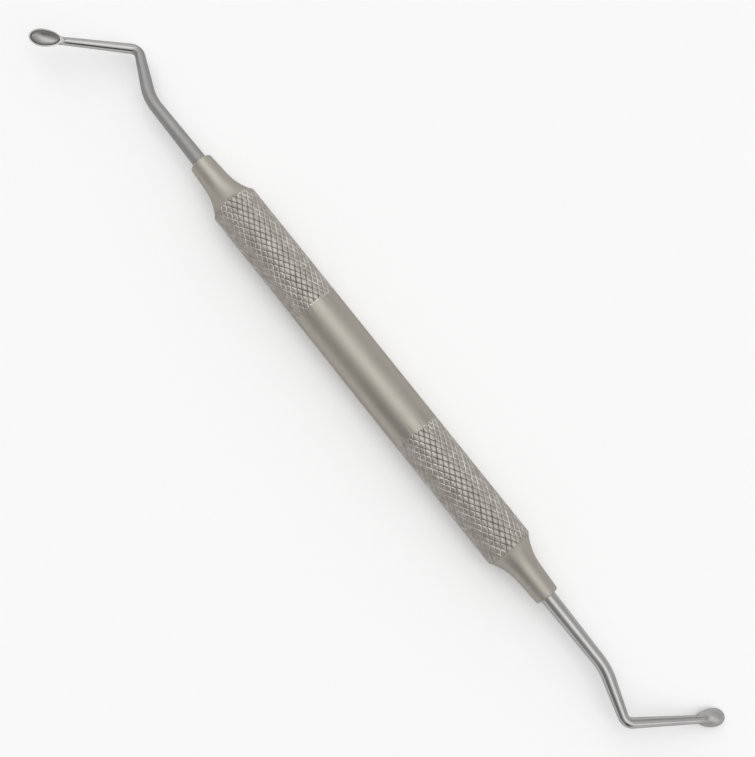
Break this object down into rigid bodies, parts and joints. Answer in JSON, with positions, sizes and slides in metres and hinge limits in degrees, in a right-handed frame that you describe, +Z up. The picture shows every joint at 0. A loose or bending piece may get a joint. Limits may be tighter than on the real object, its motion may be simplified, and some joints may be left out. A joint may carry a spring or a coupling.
{
  "type": "bone curette",
  "caption": "Double-ended bone curette: a knurled round handle with a bent wire arm and a small spoon at each end, one spoon facing up and one down.",
  "frame": {"origin": "middle of the handle, halfway between its shoulders, on its axis", "axes": "+X along the handle towards the front end, whose spoon faces down; +Z up from the surface it lies on, at z = -4.5 mm; the front arm reaches towards +Y"},
  "size_m": [0.1751, 0.0226, 0.009],
  "materials": {
    "satin_handle": "bead-blasted satin stainless steel, with two cross-knurled lengths",
    "front_wire": "ground and polished stainless steel",
    "rear_wire": "blasted satin shank that turns into a polished arm and spoon, stainless steel"
  },
  "bodies": {
    "root": {"handle": "satin_handle", "front_working_end": "front_wire", "rear_working_end": "rear_wire"}
  },
  "joints": []
}
